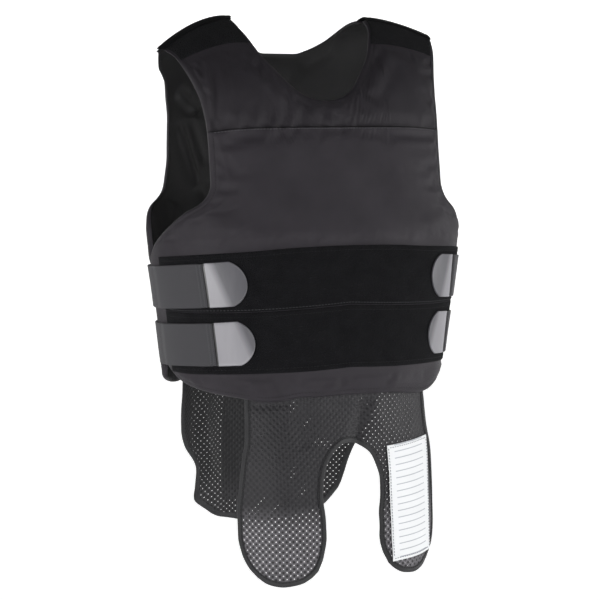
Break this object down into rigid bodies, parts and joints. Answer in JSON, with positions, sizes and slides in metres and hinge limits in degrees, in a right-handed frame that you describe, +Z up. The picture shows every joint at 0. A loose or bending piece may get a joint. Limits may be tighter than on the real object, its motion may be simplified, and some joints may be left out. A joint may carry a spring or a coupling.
{
  "type": "bulletproof vest",
  "caption": "Soft body armour vest with shoulder straps, elastic side straps on loop bands, and mesh tails at front and back, in its worn form.",
  "frame": {"origin": "where the vest hangs: midway between the undersides of the two shoulder straps", "axes": "+Z up, the front faces -Y, the wearer's left side lies at +X"},
  "size_m": [0.3846, 0.2523, 0.6383],
  "materials": {
    "nylon": "smooth charcoal nylon cloth",
    "loop": "black loop pile",
    "elastic": "ribbed grey elastic webbing",
    "hook": "satin back of a hook tab",
    "mesh": "dark perforated mesh cloth",
    "tape": "folded binding tape",
    "label": "white woven label"
  },
  "bodies": {
    "root": {"front_panel": "nylon", "back_panel": "nylon", "loop_band_upper": "loop", "loop_band_lower": "loop", "strap_upper_right": "elastic", "strap_upper_left": "elastic", "strap_lower_right": "elastic", "strap_lower_left": "elastic", "tab_upper_right": "hook", "tab_upper_left": "hook", "tab_lower_right": "hook", "tab_lower_left": "hook", "shoulder_patch_right": "loop", "shoulder_patch_left": "loop", "shoulder_strap_right": "nylon", "shoulder_strap_left": "nylon", "front_tail": "mesh", "front_tail_binding": "tape", "back_tail": "mesh", "back_tail_binding": "tape", "back_tail_patch": "nylon", "label": "label"}
  },
  "joints": []
}
